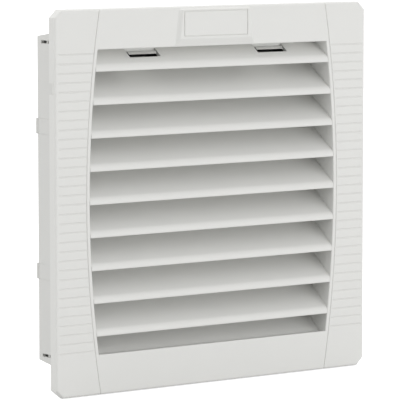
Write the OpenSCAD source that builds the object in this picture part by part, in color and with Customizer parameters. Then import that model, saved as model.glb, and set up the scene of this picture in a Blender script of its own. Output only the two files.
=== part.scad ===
// Square filter fan for a cabinet panel.
// It has a hinged louvre cover, a snap-in mounting frame, a filter mat and an axial fan.
// +X is right seen from the front, +Y goes back into the cabinet, +Z is up.
// The origin is the centre of the panel cut-out on the panel's outer face.

/* [Panel cut-out] */
// Side of the square hole in the panel
cutout = 177; // [176:0.5:178]
// Gap between the collar and the edge of the hole, each side
collar_clear = 0.9; // [0.6:0.1:1.2]
// Thickness of the foam seal
gasket_t = 1.2; // [1:0.1:2]
// Width of the foam seal
gasket_w = 5; // [3:0.5:5.5]

/* [Front cover] */
// Side of the square front
face_w = 202; // [201:1:206]
// Wall thickness of the cover
cover_wall = 2.2; // [2:0.1:2.6]
// Cut across each of the four outer corners
corner_cut = 4.2; // [3:0.1:6]
// Bevel along the front edge
edge_bevel = 1.1; // [0.5:0.1:1.8]
// Half width of the louvre opening at mid height
opening_half = 79.75; // [76:0.25:80.5]
// Radius of the bowed sides of the opening
bow_r = 610; // [500:10:900]
// Width of the cheek between the opening and the seam groove
cheek_w = 2.1; // [1.8:0.1:2.4]
// Width of the seam groove
seam_w = 0.7; // [0.4:0.1:1]
// Depth of the seam groove and of the grip grooves
groove_depth = 0.3; // [0.2:0.05:0.8]

/* [Grip bands] */
// Number of grip grooves on each side band
grip_count = 33; // [20:1:36]
// Distance from groove to groove
grip_pitch = 4.86; // [3.5:0.02:5]
// Width of one groove
grip_w = 0.9; // [0.5:0.1:1.4]
// Plain margin between the grooves and the outer edge
grip_margin = 1.6; // [1.3:0.1:4]

/* [Louvre] */
// Number of blades with a lip; one more rises behind the opening's lower edge
blade_count = 9; // [5:1:9]
// Distance from blade to blade
blade_pitch = 17.33; // [15.5:0.01:17.5]
// Distance from the opening's top edge down to the first lip
first_drop = 11.5; // [11:0.1:12]
// Gap between the last lip and the opening's bottom edge
last_gap = 9.6; // [7:0.1:10]
// Height of the upright lip
lip_h = 3.1; // [2.6:0.1:3.6]
// Radius of the bend between the lip and the slope
bend_r = 4; // [2:0.1:4]
// Slope of the blades
blade_slope = 36; // [33:1:38]
// Thickness of the blades
blade_t = 2; // [1.6:0.1:2.2]
// Depth of the blades behind the front face
blade_depth = 20.8; // [18:0.1:21]
// Depth of the louvre box behind the front face
box_depth = 23.3; // [22:0.1:25]

/* [Pull pad] */
// How far the pad stands proud of the face
pad_rise = 1.1; // [0.8:0.1:2.2]
// Half width of the pad at its top
pad_half_top = 23.5; // [15:0.25:30]
// Half width of the pad at its foot
pad_half_foot = 26; // [16:0.25:34]
// Width of the pad's sloped sides
pad_side = 2.6; // [0.5:0.1:2.6]
// Height of the plain field on the pad, over its border groove
field_h = 13.7; // [8:0.1:14]
// Width of the plain field on the pad, over its border groove
field_w = 41.6; // [20:0.2:42]

/* [Latches] */
// Distance of each latch from the middle
latch_x = 41.5; // [32:0.5:55]
// Width of the latch window
window_w = 19.5; // [14:0.5:24]
// Gap between the hook and each side of its window
window_gap = 1; // [0.5:0.1:2]
// Start of the window behind the face
window_start = 5.15; // [4.5:0.05:6]
// Length of the window, front to back
window_len = 5.75; // [5:0.05:6]

/* [Hinge] */
// Distance of each hinge from the middle
hinge_x = 55; // [30:1:75]
// Radius of the hinge pin
pin_r = 0.9; // [0.7:0.05:1]
// Length of one hinge eye
eye_len = 8; // [5:0.5:14]
// Length of one cover barrel beside the eye
barrel_len = 5; // [3:0.5:8]

/* [Mounting frame] */
// Depth of the collar behind the panel face
collar_depth = 32; // [31:0.5:36]
// Wall thickness of the collar
collar_wall = 2; // [1.6:0.1:2.4]
// How much the collar's top and bottom lean in towards the rear edge
collar_taper = 1.7; // [0.5:0.1:2.2]
// Depth over which the collar tapers
taper_len = 12; // [8:0.5:13]
// Thickness of the flange
flange_t = 1.8; // [1.5:0.1:2.4]
// Thickness of the rear plate
rear_t = 2; // [1.6:0.1:3]
// Height of the ribs that carry the filter mat
support_h = 2.4; // [1.6:0.1:3]
// Height of the corner slots
slot_h = 1.6; // [1:0.1:2]

/* [Snap arms] */
// Distance of each snap arm from the middle
snap_z = 38.5; // [25:0.5:60]
// Height of one snap arm
snap_h = 7.8; // [5:0.1:12]
// How far the crest stands out past the collar
snap_catch = 3; // [1.8:0.1:3.2]
// Crest behind the panel face
snap_crest = 5.5; // [4.5:0.1:8]
// Start of the straight part of the arm behind the panel face
snap_flush = 14; // [11:0.5:16]

/* [Fan] */
// Side of the square fan housing
fan_w = 119; // [116:0.5:122]
// Depth of the fan housing
fan_depth = 38; // [36:0.5:42]
// Bore of the fan duct
fan_bore = 113; // [109:0.5:114]
// Distance between the fan's screw holes
fan_holes = 104.8; // [103:0.1:106]
// Radius of the fan's screw holes
fan_hole_r = 2.2; // [2.1:0.05:2.5]
// Radius of the rotor cup
hub_r = 32; // [30:0.5:34]
// Radius at the tips of the impeller blades
tip_r = 55; // [50:0.25:55.5]
// Number of impeller blades
vane_count = 7; // [3:1:9]
// Pitch of the impeller blades against the plane of rotation
vane_pitch = 36; // [30:1:45]
// Radius of the bend in each impeller blade
vane_bend = 38; // [32:1:60]
// Radius of the fan shaft
shaft_r = 2; // [1.5:0.1:2.5]
// Outer radius of the ball bearings
bearing_r = 6.5; // [6:0.1:7]
// Width of the ball bearings
bearing_w = 5; // [4:0.5:6]

/* [Hidden] */
$fn = 64;
eps = 0.01;
far = 400;
fine = 256;

// Clearances
panel_gap = 0.3;
cover_gap = 0.8;
flange_gap = 0.8;
seat_gap = 0.3;
part_gap = 0.05;
run_gap = 0.05;
press_gap = 0.01;
bearing_gap = 0.02;
screw_gap = 0.25;

// Levels along Y, front to back
y_flange = -(gasket_t + flange_t);
y_inner = y_flange - cover_gap;
y_face = y_inner - cover_wall;
y_rim = -panel_gap;
y_box = y_face + box_depth;
y_rear = collar_depth - rear_t;
y_mat_back = y_rear - support_h;
y_mat = y_box + seat_gap;
y_fan = collar_depth;
y_fan_end = y_fan + fan_depth;

// Front cover
half = face_w / 2;
hinge_ease = 0.5;
hinge_round = cover_wall + hinge_ease;
hinge_y = y_rim - hinge_round;
hinge_z = -(half - hinge_round);
barrel_r = hinge_round - seat_gap;
eye_step = 0.5;
eye_r = barrel_r - eye_step;
eye_gap = 0.5;
eye_clear = 0.2;
notch_z = 60.25;
notch_h = 5.9;
notch_skin = 1.2;
notch_depth = cover_wall - notch_skin;

// Louvre
opening_h = first_drop + (blade_count - 1) * blade_pitch + last_gap;
opening_top = opening_h / 2;
box_wall = 2;
lip_t = 1.4;
bend_over = 0.03;
lip_bevel = 0.4;
first_lip = opening_top - first_drop;
blade_v = blade_t / cos(blade_slope);
rise = tan(blade_slope);
pad_gap = 0.5;
pad_slope_h = 3.7;
pad_edge = 1;
field_margin = 1;
pad_foot = opening_top + pad_gap;
pad_break = pad_foot + pad_slope_h;
field_foot = pad_break + field_margin;
pad_top = half - edge_bevel;
field_depth = 0.4;
field_line = 0.6;
pad_lean = atan((pad_half_foot - pad_half_top) / (pad_top - pad_foot));

// Latches
y_win = y_face + window_start;
y_win_end = y_win + window_len;
hook_w = window_w - 2 * window_gap;
hook_inset = 2;
hook_tip = y_win + hook_inset;
hook_back = y_win_end - seat_gap;
hook_recess = 0.25;
hook_edge = 0.2;
hook_wedge = 6.5;
hook_skin = 0.6;
hook_side = 3;
arm_t = 1.8;
hook_catch = 0.75;
arm_gap = 0.45;
arm_top = under_z(y_win_end) - arm_gap;
barb_top = under_z(y_win_end) + hook_catch;
root_r = arm_t / 2;
post_t = 2.6;
y_post = y_box - post_t;
root_lip = 0.2;
root_y = y_box - root_r - seat_gap - root_lip;
root_z = arm_top - root_r;
post_drop = 2.6;
post_side = 1;
post_room = 2;
pocket_room = 2.8;
pocket_wall = 1;
pocket_floor = arm_top - arm_t - pocket_room;
y_pocket_end = y_post - seat_gap;

// Mounting frame
collar_half = cutout / 2 - collar_clear;
collar_in = collar_half - collar_wall;
flange_half = half - cover_wall - flange_gap;
foot_gap = 0.4;
flange_foot = hinge_z + hinge_round + foot_gap;
gasket_inset = 1;
gasket_in = cutout / 2 + gasket_inset;
mat_grip = 0.3;
mat_half = collar_half - collar_taper - collar_wall + mat_grip;
slot_corner = 4.6;
slot_z = collar_half - slot_corner;
slot_start = 6;
slot_rear = 1.5;
slot_end = y_rear - slot_rear;
slot_reach = 4;
bridge_w = 1.4;
bridge_sink = 1.2;
bridge_at = 5.1;
bridge_y = slot_end - bridge_at;
boss_r = 4.2;
rib_t = 1.6;
rib_start = 5;
rib_end = 3;
grille_rim = 4;
grille_w = 2;
grille_rings = 5;

// Snap arms
snap_t = 1.5;
snap_root_r = 1.4;
snap_inset = 0.8;
snap_over = 0.6;
snap_root_x = collar_half - snap_inset;
snap_root_y = collar_depth + snap_over;
snap_clear = 0.2;
snap_nose = 2.2;

// Fan
bore_r = fan_bore / 2;
duct_wall = 2;
fan_flange_t = 4;
fan_corner_r = 6;
hole_at = fan_holes / 2;
screw_r = fan_hole_r - screw_gap;
plate_t = 4;
plate_rim = 1;
plate_r = hub_r + plate_rim;
strut_w = 6;
strut_t = 3;
strut_count = 4;
strut_turn = 20;
y_plate = y_fan_end - plate_t;
cup_t = 2;
cup_inset = 6;
cup_clear = 4;
y_cup = y_fan + cup_inset;
y_cup_end = y_plate - cup_clear;
boss_w = 3;
cage_t = 3;
cage_inset = 2;
tube_wall = 2;
tube_floor = 1;
tube_in = bearing_r + bearing_gap;
tube_r = tube_in + tube_wall;
tube_room = 4.5;
y_tube = y_cup + cup_t + tube_room;
bearing_lip = 0.5;
bearing_rest = 1;
air_gap = 0.9;
core_r = hub_r - cup_t - cage_t - air_gap;
core_in = tube_r + part_gap;
core_room = 9;
y_core = y_cup + cup_t + core_room;
core_h = 10;
pole_count = 4;
shoe_t = 3;
yoke_t = 4;
coil_t = 3;
coil_gap = 0.1;
coil_room = 0.6;
coil_inset = 2;
shaft_inset = 2;
clip_t = 0.8;
clip_w = 1.6;
vane_t = 2;
vane_h = 19;
ring_t = 1.5;
ring_over = 1;
vane_inset = 2;
y_vane = y_cup + vane_inset;

// Finger guard and fasteners
wire_r = 0.9;
spoke_r = 1;
eyelet_t = 1.2;
eyelet_r = 5;
guard_in = 14;
guard_step = 9.5;
guard_rings = 5;
guard_sink = 0.7;
spoke_over = 2;
screw_inset = 0.4;
head_r = 3.5;
head_h = 2;
recess_w = 0.9;
recess_depth = 1;

// Terminal block
block_w = 30;
block_d = 15;
block_h = 14;
block_x = 22;
block_gap = 6;
block_z = -fan_w / 2 - block_gap;
poles = 3;
wire_w = 3.4;
wire_depth = 8;
wire_floor = 2;
clamp_r = 2;
clamp_hole_r = 2.3;
clamp_depth = 5;
clamp_sink = 1;
clamp_slot = 0.7;

// Height of a blade's upper face at depth y, for the top blade
function slope_z(y) = first_lip + lip_h + (y - y_face) * rise;
// Height of a blade's lower face at depth y, for the top blade
function under_z(y) = slope_z(y) - blade_v;
// Cut across the corners of an outline that lies t inside the cover's
function cut_at(t) = corner_cut - t * (2 - sqrt(2));

// Outline in X and Z carried from y0 back to y1
module plate(y0, y1) {
    translate([0, y1, 0]) rotate([90, 0, 0]) linear_extrude(y1 - y0) children();
}

// Profile in Y and Z carried along X, centred on x
module along_x(x, w) {
    translate([x - w / 2, 0, 0]) rotate([90, 0, 90]) linear_extrude(w) children();
}

// Round bar along X, centred on x
module bar_x(x, w, y, z, r) {
    translate([x - w / 2, y, z]) rotate([0, 90, 0]) cylinder(h = w, r = r);
}

// Round bar along Y from y0 to y1
module bar_y(y0, y1, r) {
    translate([0, y0, 0]) rotate([-90, 0, 0]) cylinder(h = y1 - y0, r = r);
}

// Tube along Y from y0 to y1
module tube_y(y0, y1, r_in, r_out) {
    difference() {
        bar_y(y0, y1, r_out);
        bar_y(y0 - 1, y1 + 1, r_in);
    }
}

module box(x0, x1, y0, y1, z0, z1) {
    translate([x0, y0, z0]) cube([x1 - x0, y1 - y0, z1 - z0]);
}

// Square with rounded corners
module round_square(w, r) {
    square([w - 2 * r, w], center = true);
    square([w, w - 2 * r], center = true);
    for (sx = [-1, 1], sy = [-1, 1])
        translate([sx * (w / 2 - r), sy * (w / 2 - r)]) circle(r);
}

// Square with its corners cut across
module cut_square(w, cut) {
    intersection() {
        square(w, center = true);
        rotate(45) square((w - cut) * sqrt(2), center = true);
    }
}

// Outline of height h whose two sides are bowed out to half width hw
module bowed(hw, h) {
    intersection() {
        square([2 * hw + 2, h], center = true);
        translate([hw - bow_r, 0]) rotate(180) circle(bow_r, $fn = fine);
        translate([bow_r - hw, 0]) circle(bow_r, $fn = fine);
    }
}

// Bar of half width h along an axis turned by a about Y, with both front edges bevelled
module bevelled_bar(a, h, y0, y1, c) {
    rotate([0, a, 0]) along_x(0, far)
        polygon([[y0, c - h], [y0, h - c], [y0 + c, h], [y1, h], [y1, -h], [y0 + c, -h]]);
}

// Square slab with cut corners and a bevel round its front edge
module bevelled_slab(w, y0, y1, cut, c) {
    diagonal = (w - cut) / sqrt(2);
    intersection() {
        bevelled_bar(0, w / 2, y0, y1, c);
        bevelled_bar(90, w / 2, y0, y1, c);
        bevelled_bar(45, diagonal, y0, y1, c);
        bevelled_bar(135, diagonal, y0, y1, c);
    }
}

// Everything the rim may fill while the cover swings clear of the panel
module swing_room() {
    bar_x(0, face_w + 2, hinge_y, hinge_z, hinge_round);
    box(-half - 1, half + 1, y_face - 1, y_rim, hinge_z, half + 1);
    box(-half - 1, half + 1, y_face - 1, hinge_y, -half - 1, hinge_z + 1);
}

module rim_shell() {
    intersection() {
        difference() {
            bevelled_slab(face_w, y_face, y_rim, corner_cut, edge_bevel);
            plate(y_inner, 1) cut_square(face_w - 2 * cover_wall, cut_at(cover_wall));
        }
        swing_room();
    }
}

module louvre_box() {
    difference() {
        plate(y_inner - eps, y_box) bowed(opening_half + cheek_w, opening_h + 2 * box_wall);
        for (s = [-1, 1])
            box(s * latch_x - window_w / 2 - post_room, s * latch_x + window_w / 2 + post_room,
                y_post - seat_gap, y_box + 1, 0, half);
    }
}

// All that lies inside the pad's right-hand sloped side
module pad_flank() {
    translate([pad_half_foot, 0, pad_foot]) rotate([0, -pad_lean, 0]) translate([0, 0, -half])
        linear_extrude(face_w) polygon([
            [0, y_face + eps], [0, y_face], [-pad_side, y_face - pad_rise],
            [-half, y_face - pad_rise], [-half, y_face + eps]
        ]);
}

module pull_pad() {
    profile = [
        [y_face + eps, pad_foot], [y_face, pad_foot], [y_face - pad_rise, pad_break],
        [y_face - pad_rise, pad_top - pad_edge], [y_face - pad_rise + pad_edge, pad_top],
        [y_face + eps, pad_top]
    ];
    difference() {
        intersection() {
            along_x(0, face_w) polygon(profile);
            pad_flank();
            mirror([1, 0, 0]) pad_flank();
        }
        plate(y_face - pad_rise - 1, y_face - pad_rise + field_depth)
            translate([0, field_foot + field_h / 2]) difference() {
                square([field_w, field_h], center = true);
                square([field_w - 2 * field_line, field_h - 2 * field_line], center = true);
            }
    }
}

module hinge_barrels() {
    for (s = [-1, 1], t = [-1, 1])
        bar_x(s * hinge_x + t * (eye_len / 2 + eye_gap + barrel_len / 2), barrel_len,
              hinge_y, hinge_z, barrel_r);
}

// Room in the cover for the eyes of the mounting frame, and the holes for the pins
module hinge_cuts() {
    for (s = [-1, 1]) {
        box(s * hinge_x - eye_len / 2 - eye_gap, s * hinge_x + eye_len / 2 + eye_gap,
            hinge_y - eye_r - eye_clear, 1, -half - 1, flange_foot + 1);
        bar_x(s * hinge_x, eye_len + 2 * (eye_gap + barrel_len) + 1, hinge_y, hinge_z, pin_r + press_gap);
    }
}

// Grooves of one side band, right side
module grip_grooves() {
    v = [[y_face - eps, -grip_w / 2], [y_face - eps, grip_w / 2], [y_face + groove_depth, 0]];
    intersection() {
        for (i = [0 : grip_count - 1])
            translate([0, 0, (i - (grip_count - 1) / 2) * grip_pitch])
                along_x(3 * half / 4, half / 2 - 2 * grip_margin) polygon(v);
        plate(y_face - 1, y_face + groove_depth + 1) difference() {
            translate([half / 2, -half]) square([half / 2 - grip_margin, face_w]);
            bowed(opening_half + cheek_w + seam_w / 2, face_w + 2);
        }
    }
}

module seam_grooves() {
    plate(y_face - 1, y_face + groove_depth) difference() {
        bowed(opening_half + cheek_w + seam_w / 2, face_w + 2);
        bowed(opening_half + cheek_w - seam_w / 2, face_w + 4);
    }
}

// Shallow notch in the rim's right side, deeper towards the panel
module side_notch() {
    floor_x = half - notch_depth;
    translate([0, 0, notch_z - notch_h / 2]) linear_extrude(notch_h) polygon([
        [half, y_face + edge_bevel], [floor_x, y_rim], [floor_x, 1], [half + 1, 1],
        [half + 1, y_face + edge_bevel]
    ]);
}

module cover_frame() {
    color([0.87, 0.87, 0.86]) difference() {
        union() {
            rim_shell();
            louvre_box();
            pull_pad();
            hinge_barrels();
        }
        plate(y_face - 1, y_box + 1) bowed(opening_half, opening_h);
        grip_grooves();
        mirror([1, 0, 0]) grip_grooves();
        seam_grooves();
        side_notch();
        mirror([1, 0, 0]) side_notch();
        hinge_cuts();
    }
}

// What the bend takes off a corner at height z where the lip meets the slope
module bend_cut(z) {
    t = bend_r * tan(45 - blade_slope / 2);
    difference() {
        polygon([
            [y_face, z], [y_face - eps, z], [y_face - eps, z - t], [y_face + bend_r, z - t],
            [y_face + t * cos(blade_slope), z + t * sin(blade_slope)]
        ]);
        translate([y_face + bend_r, z - t]) circle(bend_r + bend_over);
    }
}

// Profile of a blade whose lip's lower edge lies at height z
module blade_profile(z) {
    y1 = y_face + blade_depth;
    top = lip_h + blade_depth * rise;
    difference() {
        polygon([
            [y_face, z + lip_bevel], [y_face, z + lip_h], [y1, z + top], [y1, z + top - blade_v],
            [y_face + lip_t, z + lip_h + lip_t * rise - blade_v], [y_face + lip_t, z],
            [y_face + lip_bevel, z]
        ]);
        bend_cut(z + lip_h);
    }
}

// Profile of the sill, which follows the blades' slope from the foot of the opening
module sill_profile() {
    foot = part_gap - opening_top;
    bend = first_lip - blade_count * blade_pitch + lip_h;
    head = bend + (y_box - y_face) * rise;
    polygon([
        [y_face + (foot - bend) / rise, foot], [y_box, head], [y_box, head - blade_v],
        [y_face + (foot - bend + blade_v) / rise, foot]
    ]);
}

module louvre_blades() {
    color([0.86, 0.86, 0.85]) difference() {
        union() {
            intersection() {
                for (i = [0 : blade_count - 1])
                    along_x(0, face_w) blade_profile(first_lip - i * blade_pitch);
                plate(y_face - 1, y_box) bowed(opening_half - part_gap, opening_h - 2 * part_gap);
            }
            intersection() {
                along_x(0, face_w) sill_profile();
                plate(y_face - 1, y_box + 1) bowed(opening_half - part_gap, face_w);
            }
        }
        for (s = [-1, 1])
            box(s * latch_x - window_w / 2, s * latch_x + window_w / 2, y_win, y_win_end,
                first_lip, opening_top + 1);
    }
}

// Dark trays under the top blade that close the latch windows off from below
module latch_pockets() {
    top = opening_top - part_gap;
    front = y_face + (pocket_floor + blade_v + part_gap - first_lip - lip_h) / rise;
    back = y_face + (top + blade_v + part_gap - first_lip - lip_h) / rise;
    color([0.14, 0.14, 0.15])
        for (s = [-1, 1]) difference() {
            along_x(s * latch_x, window_w + 2 * pocket_wall) polygon([
                [front, pocket_floor], [back, top], [y_pocket_end, top],
                [y_pocket_end, pocket_floor - pocket_wall],
                [front + pocket_wall, pocket_floor - pocket_wall]
            ]);
            box(s * latch_x - window_w / 2, s * latch_x + window_w / 2, y_face, y_box,
                pocket_floor, opening_top);
        }
}

module hinge_pins() {
    color([0.75, 0.76, 0.78])
        for (s = [-1, 1])
            bar_x(s * hinge_x, eye_len + 2 * (eye_gap + barrel_len), hinge_y, hinge_z, pin_r);
}

// Wedge-shaped hook on a slim arm that reaches forward through its window, at distance x from the middle
module latch_hook(x) {
    ramp_start = slope_z(hook_tip) - hook_recess;
    ramp_end = hook_tip + (barb_top - ramp_start) / rise;
    along_x(x, hook_w - 2 * hook_side) polygon([
        [hook_tip, ramp_start - hook_edge], [hook_tip, ramp_start], [ramp_end, barb_top],
        [hook_back, barb_top], [hook_back, arm_top], [root_y, arm_top], [root_y, arm_top - arm_t],
        [hook_tip + hook_wedge, arm_top - arm_t]
    ]);
    along_x(x, hook_w) polygon([
        [hook_tip, ramp_start - hook_edge], [hook_tip, ramp_start], [ramp_end, barb_top],
        [hook_back, barb_top], [hook_back, barb_top - hook_skin], [ramp_end, barb_top - hook_skin]
    ]);
    bar_x(x, hook_w, root_y, root_z, root_r);
}

module latch_hook_left() {
    color([0.72, 0.73, 0.73]) latch_hook(-latch_x);
}

module latch_hook_right() {
    color([0.72, 0.73, 0.73]) latch_hook(latch_x);
}

// Square bar round the Y axis whose top and bottom lean in towards the rear
module collar_body(h, y0, y1) {
    intersection() {
        along_x(0, 2 * h) polygon([
            [y0, -h], [y0, h], [collar_depth - taper_len, h], [collar_depth, h - collar_taper],
            [collar_depth, collar_taper - h], [collar_depth - taper_len, -h]
        ]);
        box(-h, h, y0, y1, -h, h);
    }
}

// Flange inside the cover's rim, cut short at the foot to leave room for the hinge
module flange_outline() {
    intersection() {
        cut_square(2 * flange_half, cut_at(cover_wall + flange_gap));
        translate([-half, flange_foot]) square([face_w, half - flange_foot]);
    }
}

module hinge_eyes() {
    for (s = [-1, 1]) {
        bar_x(s * hinge_x, eye_len, hinge_y, hinge_z, eye_r);
        box(s * hinge_x - eye_len / 2, s * hinge_x + eye_len / 2, y_flange, -gasket_t,
            hinge_z, flange_foot + eps);
    }
}

module latch_posts() {
    for (s = [-1, 1]) difference() {
        box(s * latch_x - hook_w / 2 - post_side, s * latch_x + hook_w / 2 + post_side, y_post, y_box,
            root_z - post_drop, collar_in + eps);
        bar_x(s * latch_x, 2 * window_w, root_y, root_z, root_r + seat_gap);
        box(s * latch_x - window_w, s * latch_x + window_w, y_post - 1, root_y,
            root_z - root_r - seat_gap, root_z + root_r + seat_gap);
    }
}

// Slots through the collar's side walls, right side
module side_slots() {
    for (s = [-1, 1]) {
        box(collar_in - slot_reach, collar_half + 1, slot_start, bridge_y,
            s * slot_z - slot_h / 2, s * slot_z + slot_h / 2);
        box(collar_in - slot_reach, collar_half + 1, bridge_y + bridge_w, slot_end,
            s * slot_z - slot_h / 2, s * slot_z + slot_h / 2);
        box(collar_half - bridge_sink, collar_half + 1, bridge_y - eps, bridge_y + bridge_w + eps,
            s * slot_z - slot_h / 2, s * slot_z + slot_h / 2);
        snap_room(s * snap_z);
    }
}

// Room for one snap arm in the wall and in the edge of the rear plate, right side
module snap_room(z) {
    h = snap_h / 2 + snap_clear;
    box(collar_in - 1, collar_half + 1, snap_nose - 1, y_rear, z - h, z + h);
    translate([snap_root_x, snap_root_y, z - h]) cylinder(h = 2 * h, r = snap_root_r + seat_gap);
    box(collar_half - snap_t - 2 * seat_gap, collar_half + 1, y_rear - 1, collar_depth + 1, z - h, z + h);
}

// Low ribs on the rear plate that carry the filter mat outside the grille
module mat_ribs() {
    for (a = [0 : 45 : 315]) rotate([0, a, 0])
        box(bore_r + rib_start, mat_half - rib_end, y_mat_back, y_rear + eps, -rib_t / 2, rib_t / 2);
    for (sx = [-1, 1], sz = [-1, 1]) translate([sx * hole_at, 0, sz * hole_at])
        bar_y(y_mat_back, y_rear + eps, boss_r);
}

module mounting_frame() {
    color([0.80, 0.80, 0.79]) difference() {
        union() {
            difference() {
                union() {
                    plate(y_flange, -gasket_t) flange_outline();
                    collar_body(collar_half, y_flange, collar_depth);
                }
                collar_body(collar_in, y_flange - 1, y_rear);
            }
            hinge_eyes();
            latch_posts();
            mat_ribs();
        }
        bar_y(y_rear - 1, collar_depth + 1, bore_r);
        side_slots();
        mirror([1, 0, 0]) side_slots();
        for (sx = [-1, 1], sz = [-1, 1]) translate([sx * hole_at, 0, sz * hole_at])
            bar_y(y_mat_back - 1, collar_depth + 1, screw_r + part_gap);
        for (s = [-1, 1])
            bar_x(s * hinge_x, eye_len + 1, hinge_y, hinge_z, pin_r + run_gap);
    }
}

module panel_gasket() {
    color([0.16, 0.16, 0.17]) plate(-gasket_t, 0) difference() {
        square(2 * (gasket_in + gasket_w), center = true);
        square(2 * gasket_in, center = true);
    }
}

// Springy arm with a ramp that grips the edge of the panel, right side at height z
module snap_arm(z) {
    crest_x = collar_half + snap_catch;
    inside = collar_half - snap_t;
    translate([0, 0, z - snap_h / 2]) {
        linear_extrude(snap_h) polygon([
            [collar_half, snap_root_y], [collar_half, snap_flush], [crest_x, snap_crest],
            [collar_half, snap_nose], [inside, snap_nose], [crest_x - snap_t, snap_crest + snap_t],
            [inside, snap_flush], [inside, snap_root_y]
        ]);
        translate([snap_root_x, snap_root_y, 0]) cylinder(h = snap_h, r = snap_root_r);
    }
}

module snap_arm_upper_left() {
    color([0.80, 0.80, 0.79]) mirror([1, 0, 0]) snap_arm(snap_z);
}

module snap_arm_upper_right() {
    color([0.80, 0.80, 0.79]) snap_arm(snap_z);
}

module snap_arm_lower_left() {
    color([0.80, 0.80, 0.79]) mirror([1, 0, 0]) snap_arm(-snap_z);
}

module snap_arm_lower_right() {
    color([0.80, 0.80, 0.79]) snap_arm(-snap_z);
}

// Round grille in front of the fan that keeps the mat flat
module filter_support() {
    gap = (bore_r + grille_rim) / grille_rings;
    color([0.80, 0.80, 0.79]) {
        for (i = [1 : grille_rings])
            tube_y(y_mat_back, y_rear, i * gap - grille_w, i * gap);
        for (a = [0 : 45 : 315]) rotate([0, a, 0])
            box(gap - grille_w / 2, bore_r + grille_rim - grille_w / 2, y_mat_back, y_rear,
                -rib_t / 2, rib_t / 2);
    }
}

module filter_mat() {
    color([0.93, 0.93, 0.90])
        box(-mat_half, mat_half, y_mat, y_mat_back, -mat_half, mat_half);
}

module fan_corner_holes(y0, y1, r) {
    for (sx = [-1, 1], sz = [-1, 1]) translate([sx * hole_at, 0, sz * hole_at]) bar_y(y0, y1, r);
}

// Two square flanges set on a round duct that carries the motor plate on struts
module fan_housing() {
    color([0.13, 0.13, 0.14]) {
        for (y = [y_fan, y_fan_end - fan_flange_t]) difference() {
            plate(y, y + fan_flange_t) round_square(fan_w, fan_corner_r);
            bar_y(y - 1, y + fan_flange_t + 1, bore_r + duct_wall + part_gap);
            fan_corner_holes(y - 1, y + fan_flange_t + 1, fan_hole_r);
        }
        tube_y(y_fan, y_fan_end, bore_r, bore_r + duct_wall);
        difference() {
            union() {
                bar_y(y_plate, y_fan_end, plate_r);
                for (i = [0 : strut_count - 1]) rotate([0, i * 360 / strut_count + strut_turn, 0])
                    box(plate_r - 2, bore_r + duct_wall / 2, y_plate, y_plate + strut_t,
                        -strut_w / 2, strut_w / 2);
            }
            bar_y(y_plate - 1, y_fan_end - tube_floor, tube_r + press_gap);
        }
    }
}

module bearing_tube() {
    color([0.70, 0.66, 0.50]) tube_y(y_tube, y_fan_end - tube_floor, tube_in, tube_r);
}

// Ball bearing drawn as its two rings and a filled race, from y back
module ball_bearing(y) {
    color([0.72, 0.73, 0.75]) tube_y(y, y + bearing_w, shaft_r + run_gap, bearing_r);
}

module bearing_front() {
    ball_bearing(y_tube + bearing_lip);
}

module bearing_rear() {
    ball_bearing(y_plate - bearing_w - bearing_rest);
}

// One pole of the stator, pointing along +X
module pole_profile() {
    stem = core_r / 4;
    translate([core_in, -stem / 2]) square([core_r - core_in - shoe_t / 2, stem]);
    intersection() {
        difference() {
            circle(core_r);
            circle(core_r - shoe_t);
        }
        translate([0, -core_r / 2]) square([core_r, core_r]);
    }
}

module stator_core() {
    color([0.45, 0.46, 0.48]) plate(y_core, y_core + core_h) {
        difference() {
            circle(core_in + yoke_t);
            circle(core_in);
        }
        for (i = [0 : pole_count - 1]) rotate(i * 360 / pole_count) difference() {
            pole_profile();
            circle(core_in + 1);
        }
    }
}

module stator_winding() {
    stem = core_r / 4 + 2 * coil_gap;
    x0 = core_in + yoke_t + coil_room;
    x1 = core_r - shoe_t - coil_inset;
    color([0.72, 0.38, 0.18])
        for (i = [0 : pole_count - 1]) rotate([0, i * 360 / pole_count, 0]) difference() {
            box(x0, x1, y_core - coil_t, y_core + core_h + coil_t, -stem / 2 - coil_t, stem / 2 + coil_t);
            box(x0 - 1, x1 + 1, y_core - coil_gap, y_core + core_h + coil_gap, -stem / 2, stem / 2);
        }
}

module rotor_cup() {
    color([0.20, 0.20, 0.21]) difference() {
        union() {
            tube_y(y_cup, y_cup_end, hub_r - cup_t, hub_r);
            bar_y(y_cup, y_cup + cup_t, hub_r);
            bar_y(y_cup, y_cup + cup_t + boss_w, shaft_r + boss_w);
        }
        bar_y(y_cup - 1, y_cup_end, shaft_r + press_gap);
    }
}

module rotor_cage() {
    color([0.55, 0.56, 0.58])
        tube_y(y_cup + cup_t, y_cup_end - cage_inset, hub_r - cup_t - cage_t, hub_r - cup_t - part_gap);
}

// One curved sheet blade of the impeller, pointing along +X
module vane() {
    mid_y = y_vane + vane_h / 2;
    chord = vane_h / sin(vane_pitch);
    depth = sqrt(vane_bend * vane_bend - chord * chord / 4);
    reach = tip_r - hub_r;
    x = hub_r + reach / 2;
    bend_y = mid_y - depth * cos(vane_pitch);
    bend_z = depth * sin(vane_pitch);
    intersection() {
        difference() {
            bar_x(x, reach + 4, bend_y, bend_z, vane_bend + vane_t / 2);
            bar_x(x, reach + 6, bend_y, bend_z, vane_bend - vane_t / 2);
        }
        bar_x(x, reach + 4, mid_y, 0, chord / 2);
        tube_y(y_cup, y_fan_end, hub_r + ring_t / 2, tip_r);
    }
}

module impeller() {
    color([0.12, 0.12, 0.13]) {
        tube_y(y_vane - ring_over, y_vane + vane_h + ring_over, hub_r + part_gap, hub_r + ring_t);
        for (i = [0 : vane_count - 1]) rotate([0, i * 360 / vane_count, 0]) vane();
    }
}

module shaft() {
    color([0.78, 0.79, 0.81]) bar_y(y_cup, y_fan_end - shaft_inset, shaft_r);
}

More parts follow.
